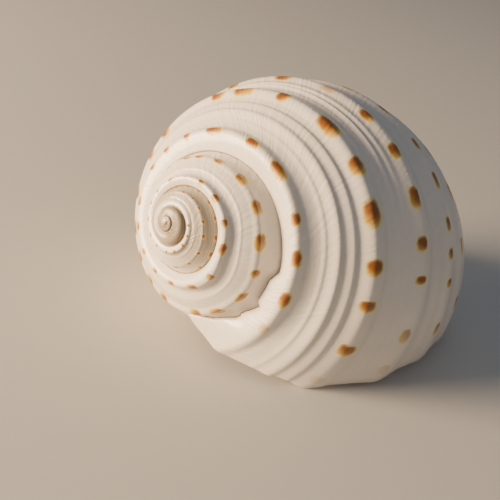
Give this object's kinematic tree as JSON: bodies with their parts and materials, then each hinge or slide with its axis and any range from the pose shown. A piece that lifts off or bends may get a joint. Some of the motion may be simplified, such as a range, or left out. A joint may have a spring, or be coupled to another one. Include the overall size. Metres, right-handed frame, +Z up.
{
  "type": "spotted tun shell",
  "caption": "Large thin rounded sea snail shell with a low spire, spiral ribs and a wide mouth, cream white with orange-brown spots, lying on its mouth.",
  "frame": {"origin": "middle of the shell's plan box, on the surface it lies on", "axes": "+Z up as the shell lies on its mouth, -Y towards the viewer of the picture, the apex towards -X and -Y, the front end towards +X and +Y"},
  "size_m": [0.0788, 0.0694, 0.0536],
  "materials": {
    "glossy_shell": "glossy natural shell lime, cream white with soft orange-brown spots along the ribs"
  },
  "bodies": {
    "root": {"tun_shell": "glossy_shell"}
  },
  "joints": []
}
